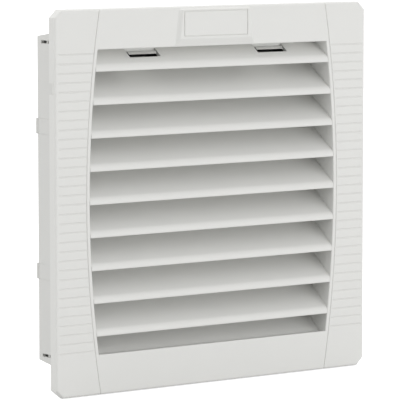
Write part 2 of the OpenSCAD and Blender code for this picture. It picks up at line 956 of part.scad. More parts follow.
module retaining_clip() {
    color([0.66, 0.67, 0.70])
        tube_y(y_plate - clip_t, y_plate, shaft_r + press_gap, shaft_r + clip_w);
}

// Screw along Y with a pan head at its rear end
module pan_screw(y0, y1, r, hr, hh) {
    bar_y(y0, y1 + eps, r);
    difference() {
        bar_y(y1, y1 + hh, hr);
        for (a = [0, 90]) rotate([0, a, 0])
            box(-hr * 0.65, hr * 0.65, y1 + hh - recess_depth, y1 + hh + 1, -recess_w / 2, recess_w / 2);
    }
}

module fan_screws() {
    color([0.74, 0.75, 0.77])
        for (sx = [-1, 1], sz = [-1, 1]) translate([sx * hole_at, 0, sz * hole_at])
            pan_screw(y_mat_back + screw_inset, y_fan + fan_flange_t, screw_r, head_r, head_h);
}

module guard_screws() {
    color([0.74, 0.75, 0.77])
        for (sx = [-1, 1], sz = [-1, 1]) translate([sx * hole_at, 0, sz * hole_at])
            pan_screw(y_fan_end - fan_flange_t, y_fan_end + eyelet_t, screw_r, head_r, head_h);
}

module finger_guard() {
    y_spoke = y_fan_end + spoke_r;
    y_ring = y_spoke + spoke_r + wire_r - guard_sink;
    eyelet_at = hole_at * sqrt(2);
    spoke_end = eyelet_at - head_r - seat_gap;
    color([0.76, 0.77, 0.79]) difference() {
        union() {
            for (i = [0 : guard_rings - 1]) translate([0, y_ring, 0]) rotate([-90, 0, 0])
                rotate_extrude() translate([guard_in + i * guard_step, 0]) circle(wire_r, $fn = 24);
            for (a = [45 : 90 : 315]) rotate([0, a, 0]) {
                translate([guard_in - spoke_over, y_spoke, 0]) rotate([0, 90, 0])
                    cylinder(h = spoke_end - guard_in + spoke_over, r = spoke_r, $fn = 24);
                translate([eyelet_at, 0, 0]) bar_y(y_fan_end, y_fan_end + eyelet_t, eyelet_r);
            }
        }
        fan_corner_holes(y_fan_end - 1, y_fan_end + 3 * eyelet_t, screw_r + part_gap);
    }
}

module terminal_block() {
    pitch = block_w / poles;
    color([0.28, 0.29, 0.31]) difference() {
        box(block_x, block_x + block_w, collar_depth, collar_depth + block_d, block_z - block_h, block_z);
        for (i = [0 : poles - 1]) translate([block_x + (i + 0.5) * pitch, 0, 0]) {
            translate([0, collar_depth, block_z - block_h / 3])
                bar_y(block_d - clamp_depth, block_d + 1, clamp_hole_r);
            box(-wire_w / 2, wire_w / 2, collar_depth + block_d - wire_depth, collar_depth + block_d + 1,
                block_z - block_h + wire_floor, block_z - block_h + wire_floor + wire_w);
        }
    }
}

module terminal_screws() {
    pitch = block_w / poles;
    color([0.74, 0.75, 0.77])
        for (i = [0 : poles - 1])
            translate([block_x + (i + 0.5) * pitch, collar_depth, block_z - block_h / 3]) difference() {
                bar_y(block_d - clamp_depth, block_d - clamp_sink, clamp_r);
                box(-clamp_r, clamp_r, block_d - 2 * clamp_sink, block_d, -clamp_slot / 2, clamp_slot / 2);
            }
}

cover_frame();
louvre_blades();
latch_pockets();
hinge_pins();
latch_hook_left();
latch_hook_right();
mounting_frame();
panel_gasket();
snap_arm_upper_left();
snap_arm_upper_right();
snap_arm_lower_left();
snap_arm_lower_right();
filter_support();
filter_mat();
fan_housing();
bearing_tube();
bearing_front();
bearing_rear();
stator_core();
stator_winding();
rotor_cup();
rotor_cage();
impeller();
shaft();
retaining_clip();
fan_screws();
finger_guard();
guard_screws();
terminal_block();
terminal_screws();
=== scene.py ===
"""Dressed model of a square filter fan for a cabinet panel.

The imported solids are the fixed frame. The moulded front, its louvre blades, the latch hooks, the seal,
the filter mat and the snap arms are surfaces worked out with numpy, and the other solids keep their
shape and get a finish of their own. Lengths inside the classes are millimetres in the part's frame:
+X right, +Y back into the cabinet, +Z up.
"""

import logging
import math
from dataclasses import dataclass, field
from enum import Enum
from typing import Optional, Sequence

import bmesh
import bpy
import numpy as np
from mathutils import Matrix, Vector


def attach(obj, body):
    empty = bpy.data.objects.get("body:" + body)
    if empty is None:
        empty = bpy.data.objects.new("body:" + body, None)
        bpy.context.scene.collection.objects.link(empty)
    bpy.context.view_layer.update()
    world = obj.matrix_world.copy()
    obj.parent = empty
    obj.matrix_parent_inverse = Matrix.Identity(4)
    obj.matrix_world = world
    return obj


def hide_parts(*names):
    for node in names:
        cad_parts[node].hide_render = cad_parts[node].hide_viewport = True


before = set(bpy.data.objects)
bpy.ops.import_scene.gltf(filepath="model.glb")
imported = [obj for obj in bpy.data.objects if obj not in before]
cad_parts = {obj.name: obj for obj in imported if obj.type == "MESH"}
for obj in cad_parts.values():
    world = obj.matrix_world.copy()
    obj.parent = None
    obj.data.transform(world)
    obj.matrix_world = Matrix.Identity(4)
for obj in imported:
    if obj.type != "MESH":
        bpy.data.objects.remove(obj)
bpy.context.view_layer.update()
LOG = logging.getLogger("filter_fan")
Array = np.ndarray
Socket = bpy.types.NodeSocket

# One millimetre, and the distances in metres under which points merge and slivers go
MM = 0.001
MERGE = 2e-6
SLIVER = 1e-6

# Places that a shape shares with its finish, in millimetres and degrees
LATCH_X = 41.5
BLADE_SLOPE = 36.0
# BARB_TOP, TONGUE_LINE and TONGUE_SKIN also place the painted shade on the hook arms under the tongue
BARB_TOP = 77.667
TONGUE_LINE = 75.58
TONGUE_SKIN = 0.3
# TRAY_HALF and TRAY_FLOOR, with LATCH_X, place the painted shade inside the latch trays
TRAY_HALF = 9.8
TRAY_FLOOR = 71.8
WIRE_STEP = 0.45
SHEET_STEP = 0.5


def srgb(level: float) -> float:
    """Linear value of a screen tone from 0 to 255, by the two-part sRGB curve."""
    c = level / 255.0
    return c / 12.92 if c <= 0.04045 else ((c + 0.055) / 1.055) ** 2.4


class Grain(Enum):
    """Kinds of surface that a finish can have."""

    MOULDED = "moulded"
    FOAM = "foam"
    FLEECE = "fleece"
    CAST = "cast"
    DRAWN = "drawn"
    WOUND = "wound"
    # The next two kinds paint shade: inside the latch trays, and on the hook arms under their tongues
    SHADED_INSIDE = "shaded_inside"
    SHADED_ARM = "shaded_arm"
    STACKED = "stacked"


class Sketch:
    """Short way to write a material's nodes, all read from Object coordinates."""

    def __init__(self, name: str) -> None:
        """Starts an empty material with a Principled shader.

        Args:
            name: Name of the material.
        """
        self.material = bpy.data.materials.new(name)
        self.material.use_nodes = True
        self.tree = self.material.node_tree
        self.tree.nodes.clear()
        self.shader = self.add("ShaderNodeBsdfPrincipled")
        output = self.add("ShaderNodeOutputMaterial")
        self.tree.links.new(self.shader.outputs["BSDF"], output.inputs["Surface"])
        self.coords = self.add("ShaderNodeTexCoord").outputs["Object"]

    def add(self, kind: str, links: Optional[dict] = None, **values: object) -> bpy.types.Node:
        """Adds a node.

        Args:
            kind: Blender's name of the node type.
            links: Input name or number to the output that feeds it.
            values: Input names, with _ for a space, to constants.

        Returns:
            The new node.
        """
        node = self.tree.nodes.new(kind)
        for key, value in values.items():
            node.inputs[key.replace("_", " ")].default_value = value
        for key, output in (links or {}).items():
            self.tree.links.new(output, node.inputs[key])
        return node

    def scaled(self, sx: float, sy: float, sz: float) -> Socket:
        """Object coordinates stretched by three factors."""
        return self.add("ShaderNodeMapping", {"Vector": self.coords}, Scale=(sx, sy, sz)).outputs["Vector"]

    def noise(self, scale: float, detail: float, vector: Optional[Socket] = None) -> Socket:
        """Noise value from 0 to 1, with so many cells to the metre."""
        node = self.add("ShaderNodeTexNoise", {"Vector": vector or self.coords}, Scale=scale, Detail=detail,
                        Roughness=0.6)
        return node.outputs["Fac"]

    def ramp(self, value: Socket, low: float, high: float) -> Socket:
        """A 0 to 1 value spread evenly from low to high."""
        node = self.add("ShaderNodeMapRange", {"Value": value}, To_Min=low, To_Max=high)
        return node.outputs["Result"]

    def math(self, kind: str, *parts: object) -> Socket:
        """Adds one sum.

        Args:
            kind: Blender's name of the sum.
            parts: Its terms, each a number or an output.

        Returns:
            The output of the sum.
        """
        node = self.add("ShaderNodeMath")
        node.operation = kind
        for i, part in enumerate(parts):
            if isinstance(part, (int, float)):
                node.inputs[i].default_value = part
            else:
                self.tree.links.new(part, node.inputs[i])
        return node.outputs["Value"]

    def ridges(self, place: Socket, step: float) -> Socket:
        """Height of half-round ridges at even steps in millimetres: the size of sin(pi place / step)."""
        return self.math("ABSOLUTE", self.math("SINE", self.math("MULTIPLY", place, math.pi / (step * MM))))

    def tint(self, value: Socket, dark: Sequence[float], light: Sequence[float]) -> None:
        """Mixes the base colour from two linear colours.

        Args:
            value: Share of the second colour, from 0 to 1.
            dark: Colour at 0.
            light: Colour at 1.
        """
        node = self.add("ShaderNodeMix", {0: value})
        node.data_type = "RGBA"
        node.inputs[6].default_value = (*dark, 1.0)
        node.inputs[7].default_value = (*light, 1.0)
        self.tree.links.new(node.outputs[2], self.shader.inputs["Base Color"])

    def bump(self, height: Socket, depth_mm: float, strength: float) -> None:
        """Relief of a given depth on the shader's normal."""
        node = self.add("ShaderNodeBump", {"Height": height}, Strength=strength, Distance=depth_mm * MM)
        self.tree.links.new(node.outputs["Normal"], self.shader.inputs["Normal"])

    def rough(self, value: Socket, low: float, high: float) -> None:
        """Roughness spread from low to high by a 0 to 1 value."""
        self.tree.links.new(self.ramp(value, low, high), self.shader.inputs["Roughness"])


@dataclass(frozen=True)
class Finish:
    """One finish of the object: its slot in the record, colour, gloss and grain."""

    slot: str
    grain: Grain
    tone: tuple[float, float, float]
    rough: tuple[float, float]
    metal: float = 0.0
    spread: float = 0.03

    def colours(self) -> tuple[list[float], list[float]]:
        """Darker and lighter linear colour round the finish's screen tone.

        Returns:
            The two colours, a spread below and above the tone.
        """
        base = np.array([srgb(v) for v in self.tone])
        return (base * (1 - self.spread)).tolist(), np.minimum(base * (1 + self.spread), 1).tolist()

    def material(self) -> bpy.types.Material:
        """The finish as a material, made once.

        Returns:
            The Blender material named after the finish's slot.
        """
        name = self.slot + "_finish"
        made = bpy.data.materials.get(name)
        if made is not None:
            return made
        sketch = Sketch(name)
        sketch.shader.inputs["Metallic"].default_value = self.metal
        getattr(self, self.grain.value)(sketch)
        return sketch.material

    def mould_skin(self, s: Sketch) -> None:
        """Fine even grain in gloss and relief, which all moulded finishes have."""
        s.rough(s.noise(700, 2), *self.rough)
        s.bump(s.noise(1500, 3), 0.05, 0.25)

    def moulded(self, s: Sketch) -> None:
        """Mould texture with faint flow marks in its colour."""
        s.tint(s.noise(45, 3), *self.colours())
        self.mould_skin(s)

    def foam(self, s: Sketch) -> None:
        """Closed cells of about half a millimetre with dark walls.

        Args:
            s: Material that gets the nodes.
        """
        cells = s.add("ShaderNodeTexVoronoi", {"Vector": s.coords}, Scale=1600).outputs["Distance"]
        s.tint(cells, *self.colours())
        s.rough(s.noise(300, 2), *self.rough)
        s.bump(cells, 0.3, 0.8)

    def fleece(self, s: Sketch) -> None:
        """Non-woven fibres: noise drawn out along two slants, laid over a cloudy thickness.

        Args:
            s: Material that gets the nodes.
        """
        first = s.noise(1.0, 4, s.scaled(260, 700, 2600))
        second = s.noise(1.0, 4, s.scaled(2400, 700, 300))
        fibres = s.math("MAXIMUM", first, second)
        cloud = s.math("MULTIPLY_ADD", fibres, 0.6, s.math("MULTIPLY", s.noise(90, 3), 0.4))
        s.tint(cloud, *self.colours())
        s.rough(fibres, *self.rough)
        s.bump(cloud, 0.8, 0.9)

    def cast(self, s: Sketch) -> None:
        """Painted die casting: soft orange peel and faint dusting.

        Args:
            s: Material that gets the nodes.
        """
        s.tint(s.noise(60, 4), *self.colours())
        s.rough(s.noise(420, 2), *self.rough)
        s.bump(s.noise(620, 2), 0.12, 0.35)

    def drawn(self, s: Sketch) -> None:
        """Drawn or turned metal: faint short streaks in gloss and relief.

        Args:
            s: Material that gets the nodes.
        """
        streak = s.noise(1.0, 3, s.scaled(1800, 90, 1800))
        s.tint(s.noise(140, 3), *self.colours())
        s.rough(streak, *self.rough)
        s.bump(streak, 0.02, 0.3)

    def wound(self, s: Sketch) -> None:
        """Wire turns: half-round ridges at even steps of distance from the fan's axis.

        Args:
            s: Material that gets the nodes.
        """
        away = s.add("ShaderNodeVectorMath", {0: s.scaled(1, 0, 1)})
        away.operation = "LENGTH"
        turns = s.ridges(away.outputs["Value"], WIRE_STEP)
        s.tint(turns, *self.colours())
        s.rough(s.noise(500, 2), *self.rough)
        s.bump(turns, 0.3, 0.9)

    def stacked(self, s: Sketch) -> None:
        """Stacked sheets: thin dark lines at even steps along Y.

        Args:
            s: Material that gets the nodes.
        """
        split = s.add("ShaderNodeSeparateXYZ", {"Vector": s.coords})
        sheets = s.ridges(split.outputs["Y"], SHEET_STEP)
        s.tint(sheets, *self.colours())
        s.rough(s.noise(300, 2), *self.rough)
        s.bump(sheets, 0.1, 0.6)

    def shaded_inside(self, s: Sketch) -> None:
        """Painted shade inside the two trays, pale outside: dark where x and z both lie within their hollow.

        Args:
            s: Material that gets the nodes.
        """
        # dark is painted shade for the trays' hollows; pale is the cover's own colour outside
        dark, pale = self.colours()[0], COVER.colours()[0]
        split = s.add("ShaderNodeSeparateXYZ", {"Vector": s.coords})
        away = s.math("ABSOLUTE", s.math("SUBTRACT", s.math("ABSOLUTE", split.outputs["X"]), LATCH_X * MM))
        across = s.math("LESS_THAN", away, TRAY_HALF * MM)
        above = s.math("GREATER_THAN", split.outputs["Z"], TRAY_FLOOR * MM)
        s.tint(s.math("MULTIPLY", across, above), pale, dark)
        self.mould_skin(s)

    def shaded_arm(self, s: Sketch) -> None:
        """Pale tongue, with painted shade on the arm: dark from a skin's depth below the tongue's ramp and
        top.

        Args:
            s: Material that gets the nodes.
        """
        # dark is the pockets' painted shade, put on the arm and root below the tongue
        dark, pale = POCKET_SHADE.colours()[0], self.colours()[1]
        split = s.add("ShaderNodeSeparateXYZ", {"Vector": s.coords})
        rise = math.tan(math.radians(BLADE_SLOPE))
        ramp = s.math("MULTIPLY_ADD", split.outputs["Y"], rise, TONGUE_LINE * MM)
        line = s.math("SUBTRACT", s.math("MINIMUM", ramp, BARB_TOP * MM), TONGUE_SKIN * MM)
        s.tint(s.math("GREATER_THAN", split.outputs["Z"], line), dark, pale)
        self.mould_skin(s)


COVER = Finish("cover_plastic", Grain.MOULDED, (226, 226, 223), (0.42, 0.56), spread=0.012)
FRAME = Finish("frame_plastic", Grain.MOULDED, (219, 219, 216), (0.45, 0.6), spread=0.015)
# Latch hooks: pale tongue in this tone, and painted shade in the pockets' dark tone on the arm and root below
# it
LATCH = Finish("latch_plastic", Grain.SHADED_ARM, (222, 222, 219), (0.42, 0.56), spread=0.015)
# Latch pockets: painted shade in this dark tone inside the tray hollows, the cover's pale colour outside
POCKET_SHADE = Finish("pocket_plastic", Grain.SHADED_INSIDE, (46, 46, 48), (0.5, 0.65), spread=0.05)
SEAL = Finish("seal_foam", Grain.FOAM, (58, 58, 60), (0.85, 0.95), spread=0.35)
FLEECE = Finish("filter_fleece", Grain.FLEECE, (226, 226, 220), (0.85, 1.0), spread=0.16)
CASTING = Finish("fan_casting", Grain.CAST, (44, 45, 47), (0.42, 0.6), spread=0.12)
ROTOR = Finish("rotor_paint", Grain.CAST, (52, 52, 54), (0.34, 0.5), spread=0.1)
LAMINATION = Finish("lamination", Grain.STACKED, (142, 144, 148), (0.35, 0.5), 0.9, 0.3)
COPPER = Finish("copper_wire", Grain.WOUND, (196, 120, 72), (0.25, 0.4), 0.9, 0.35)
BRASS = Finish("brass_tube", Grain.DRAWN, (196, 176, 118), (0.25, 0.4), 1.0, 0.06)
STEEL = Finish("steel", Grain.DRAWN, (196, 198, 202), (0.22, 0.4), 1.0, 0.06)
WIRE = Finish("guard_wire", Grain.DRAWN, (202, 203, 206), (0.18, 0.34), 1.0, 0.05)
TERMINAL = Finish("terminal_plastic", Grain.MOULDED, (74, 76, 80), (0.38, 0.5), spread=0.05)


@dataclass
class Solid:
    """Closed surface: points in millimetres, and faces as index arrays with one row to a face."""

    points: Array
    faces: list[Array]

    def volume(self) -> float:
        """Signed volume: a sixth of the sum of a . (b x c) over each face's fan of triangles.

        Returns:
            The volume in cubic millimetres, negative where the faces point inwards.
        """
        total = 0.0
        for block in self.faces:
            for k in range(1, block.shape[1] - 1):
                a, b, c = (self.points[block[:, i]] for i in (0, k, k + 1))
                total += float(np.einsum("ij,ij->", a, np.cross(b, c)))
        return total / 6

    def outward(self) -> "Solid":
        """The same solid with its faces turned outwards.

        Returns:
            Itself, with the faces reversed where the signed volume was negative.
        """
        if self.volume() < 0:
            self.faces = [block[:, ::-1] for block in self.faces]
        return self


def grid_faces(rows: int, cols: int, close_rows: bool, close_cols: bool) -> Array:
    """Quads of a grid, each joining a point to its next row and column.

    Args:
        rows: Number of rows of points.
        cols: Number of points in a row.
        close_rows: Joins the last row to the first.
        close_cols: Joins the last point of each row to its first.

    Returns:
        One row of four indices to a quad.
    """
    i, j = np.meshgrid(np.arange(rows - (not close_rows)), np.arange(cols - (not close_cols)), indexing="ij")
    i2, j2 = (i + 1) % rows, (j + 1) % cols
    return np.stack([i * cols + j, i2 * cols + j, i2 * cols + j2, i * cols + j2], -1).reshape(-1, 4)


def loft(rings: Array, looped: bool = False) -> Solid:
    """Closed rings of points joined one to the next, with flat ends unless looped.

    Args:
        rings: Points by ring, place in the ring, and axis.
        looped: Joins the last ring to the first instead of capping both.

    Returns:
        The closed solid.
    """
    m, n, _ = rings.shape
    faces = [grid_faces(m, n, looped, True)]
    if not looped:
        faces += [np.arange(n)[None], ((m - 1) * n + np.arange(n))[None, ::-1]]
    return Solid(rings.reshape(-1, 3), faces).outward()


def slab(front: Array, back: Array) -> Solid:
    """Two grids of equal shape joined round their edge.

    Args:
        front: Points of the first skin by row and column.
        back: Points of the second skin.

    Returns:
        The closed solid.
    """
    m, n, _ = front.shape
    edge = np.concatenate([np.arange(n), np.arange(1, m) * n + n - 1,
                           (m - 1) * n + np.arange(n - 2, -1, -1), np.arange(m - 2, 0, -1) * n])
    count, quads = m * n, grid_faces(m, n, False, False)
    ahead = np.roll(edge, -1)
    wall = np.stack([edge, ahead, ahead + count, edge + count], -1)
    points = np.concatenate([front.reshape(-1, 3), back.reshape(-1, 3)])
    return Solid(points, [quads, quads[:, ::-1] + count, wall]).outward()


def fillet(d: Array, r: float) -> Array:
    """Drop of a quarter-round edge at distance d inside it: r - sqrt(r^2 - (r - d)^2), nothing past r."""
    short = r - np.clip(d, 0, r)
    return r - np.sqrt(np.maximum(r * r - short * short, 0))


def rounded(corners: Sequence[tuple[float, float, float]], steps: int = 5) -> Array:
    """Outline whose corners are arcs: each leaves the sides at r / tan(half the corner's angle).

    Args:
        corners: Corner points with the radius of each.
        steps: Points on one arc.

    Returns:
        The outline's points in order.
    """
    table = np.array(corners, float)
    p, r = table[:, :2], table[:, 2]
    before, after = np.roll(p, 1, 0) - p, np.roll(p, -1, 0) - p
    before /= np.linalg.norm(before, axis=1, keepdims=True)
    after /= np.linalg.norm(after, axis=1, keepdims=True)
    half = np.arccos(np.clip((before * after).sum(1), -1, 1)) / 2
    inward = before + after
    inward /= np.linalg.norm(inward, axis=1, keepdims=True)
    centre = p + inward * (r / np.sin(half))[:, None]
    t = np.linspace(-1, 1, steps)[None, :, None] * (math.pi / 2 - half)[:, None, None]
    side = np.stack([-inward[:, 1], inward[:, 0]], -1)
    side *= np.sign((side * after).sum(1, keepdims=True))
    arc = -inward[:, None] * np.cos(t) + side[:, None] * np.sin(t)
    return (centre[:, None] + arc * r[:, None, None]).reshape(-1, 2)


def circle(u: float, v: float, r: float, steps: int = 32) -> Array:
    """Round outline about (u, v): r times the cosine and sine of even angles."""
    a = np.linspace(0, 2 * math.pi, steps, endpoint=False)
    return np.stack([u + r * np.cos(a), v + r * np.sin(a)], -1)


def inset(outline: Array, d: float) -> Array:
    """Outline moved inwards by d along the mitre of each corner, which is kept short at sharp ones.

    Args:
        outline: Points in order.
        d: Distance, inwards.

    Returns:
        The moved points.
    """
    ahead = np.roll(outline, -1, 0) - outline
    ahead /= np.maximum(np.linalg.norm(ahead, axis=1, keepdims=True), 1e-9)
    normal = np.stack([-ahead[:, 1], ahead[:, 0]], -1)
    mean = normal + np.roll(normal, 1, 0)
    mean /= np.maximum((mean * normal).sum(1, keepdims=True), 0.35)
    x, y = outline.T
    turn = np.sign((x * np.roll(y, -1) - y * np.roll(x, -1)).sum())
    return outline + turn * d * mean


def prism(outline: Array, low: float, high: float, edge: float, axis: int) -> Solid:
    """Outline carried along an axis, its two rims quarter-rounds of radius edge.

    Args:
        outline: Points in the two other axes, in their order.
        low: Start along the axis.
        high: End along the axis.
        edge: Radius of the rims.
        axis: 0, 1 or 2 for X, Y or Z.

    Returns:
        The closed solid.
    """
    t = np.linspace(0, math.pi / 2, 5)
    back = edge * (1 - np.sin(t))
    along = np.concatenate([low + edge * (1 - np.cos(t)), (high - edge * (1 - np.cos(t)))[::-1]])
    rings = np.stack([inset(outline, d) for d in np.concatenate([back, back[::-1]])])
    return loft(np.insert(rings, axis, along[:, None], axis=2))


def lathe(profile: Array, centre: tuple[float, float, float], axis: int, steps: int = 48) -> Solid:
    """Closed profile of distance along and radius, turned about an axis through centre.

    Args:
        profile: Points of distance along the axis, and radius.
        centre: A point on the axis.
        axis: 0, 1 or 2 for X, Y or Z.
        steps: Number of turns of the profile.

    Returns:
        The closed solid.
    """
    a = np.linspace(0, 2 * math.pi, steps, endpoint=False)[:, None]
    along, r = profile[None, :, 0] + 0 * a, profile[None, :, 1]
    parts = [r * np.cos(a), r * np.sin(a)]
    parts.insert(axis, along)
    return loft(np.stack(parts, -1) + np.array(centre), looped=True)


def piece(name: str, solids: Sequence[Solid], finish: Finish, body: str, nodes: Sequence[str] = (),
          sharp: float = 32.0) -> bpy.types.Object:
    """Makes one object of several solids, in metres, riding on a body.

    Args:
        name: Name of the piece.
        solids: Closed solids in millimetres.
        finish: Finish of the whole piece.
        body: Body that carries it.
        nodes: Solids of the frame that it stands for.
        sharp: Angle in degrees past which an edge shows.

    Returns:
        The new object.
    """
    whole = bmesh.new()
    for solid in solids:
        part = bpy.data.meshes.new("part")
        faces = [row for block in solid.faces for row in block.tolist()]
        part.from_pydata((solid.points * MM).tolist(), [], faces)
        clean = bmesh.new()
        clean.from_mesh(part)
        bmesh.ops.remove_doubles(clean, verts=clean.verts, dist=MERGE)
        bmesh.ops.dissolve_degenerate(clean, dist=SLIVER, edges=clean.edges)
        clean.to_mesh(part)
        clean.free()
        whole.from_mesh(part)
        bpy.data.meshes.remove(part)
    mesh = bpy.data.meshes.new(name)
    whole.to_mesh(mesh)
    whole.free()
    mesh.polygons.foreach_set("use_smooth", np.ones(len(mesh.polygons), bool))
    mesh.set_sharp_from_angle(angle=math.radians(sharp))
    mesh.materials.append(finish.material())
    made = bpy.data.objects.new(name, mesh)
    bpy.context.scene.collection.objects.link(made)
    weighted = made.modifiers.new("even_normals", "WEIGHTED_NORMAL")
    weighted.keep_sharp = True
    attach(made, body)
    if nodes:
        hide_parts(*nodes)
    LOG.info("%s: %d faces on %s", name, len(mesh.polygons), body)
    return made


def dress(node: str, finish: Finish) -> None:
    """Gives a solid of the frame its finish, and reports it.

    Args:
        node: Name of the node.
        finish: Finish to put in its material slots.
    """
    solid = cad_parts[node]
    solid.data.materials.clear()
    solid.data.materials.append(finish.material())
    LOG.info("%s: frame solid in %s", node, finish.slot)


@dataclass
class Front:
    """Shape of the moulded front: one relief that all its bands are cut from."""

    half: float = 101.0
    cut: float = 4.2
    edge: float = 1.1
    face_y: float = -6.0
    inner_y: float = -3.8
    rim_y: float = -0.3
    wall: float = 2.2
    opening_half: float = 79.75
    opening_top: float = 79.87
    bow: float = 610.0
    cheek: float = 2.1
    seam: float = 0.35
    seam_depth: float = 0.42
    groove_depth: float = 0.36
    lip_round: float = 0.5
    grips: int = 33
    grip_pitch: float = 4.86
    grip_half: float = 0.65
    grip_margin: float = 1.6
    grip_fade: float = 0.8

    def side(self, z: Array, half: float) -> Array:
        """Half width of a bowed side at height z: half - R + sqrt(R^2 - z^2)."""
        return half - self.bow + np.sqrt(self.bow ** 2 - z * z)

    def seam_line(self, z: Array) -> Array:
        """Half width of the seam between the cheek and the side band at height z."""
        return self.side(z, self.opening_half + self.cheek)

    def outer(self, z: Array) -> Array:
        """Half width of the cut square at height z: straight, then in along the corner's cut."""
        return np.minimum(self.half, 2 * self.half - self.cut - np.abs(z))

    def edge_distance(self, x: Array, z: Array) -> Array:
        """Distance in from the cut square: the least of those from sides, ends and corner cuts."""
        sides = self.half - np.maximum(np.abs(x), np.abs(z))
        return np.minimum(sides, (2 * self.half - self.cut - np.abs(x) - np.abs(z)) / math.sqrt(2))

    def opening_distance(self, x: Array, z: Array) -> Array:
        """Distance out from the opening: past its side, past its end, or from its corner."""
        return np.hypot(np.maximum(np.abs(x) - self.side(z, self.opening_half), 0),
                        np.maximum(np.abs(z) - self.opening_top, 0))

    def grip(self, x: Array, z: Array) -> Array:
        """Depth of the grip grooves: cosine-squared valleys at even steps, faded out at both ends.

        Args:
            x: Places across the front.
            z: Heights of those places.

        Returns:
            The depth at each place.
        """
        step = z / self.grip_pitch
        off = (step - np.round(step)) * self.grip_pitch
        valley = np.cos(np.clip(np.abs(off) / self.grip_half, 0, 1) * math.pi / 2) ** 2
        row = np.abs(np.round(step)) <= (self.grips - 1) / 2
        start = np.clip((np.abs(x) - self.seam_line(z) - self.seam) / self.grip_fade, 0, 1)
        end = np.clip((self.outer(z) - self.grip_margin - np.abs(x)) / self.grip_fade, 0, 1)
        return self.groove_depth * valley * row * start * end

    def relief(self, x: Array, z: Array) -> Array:
        """Y of the front skin: the face, less its outer round, its lip, the seam's V and the grip grooves.

        Args:
            x: Places across the front.
            z: Heights of those places.

        Returns:
            The skin's Y at each place.
        """
        seam = np.abs(np.abs(x) - self.seam_line(z))
        groove = self.seam_depth * np.clip(1 - seam / self.seam, 0, 1)
        return (self.face_y + fillet(self.edge_distance(x, z), self.edge)
                + fillet(self.opening_distance(x, z), self.lip_round) + groove + self.grip(x, z))


def near(r: float, count: int = 7) -> Array:
    """Distances in from an edge of radius r at even angles round its arc."""
    return r * (1 - np.cos(np.linspace(0, math.pi / 2, count)))


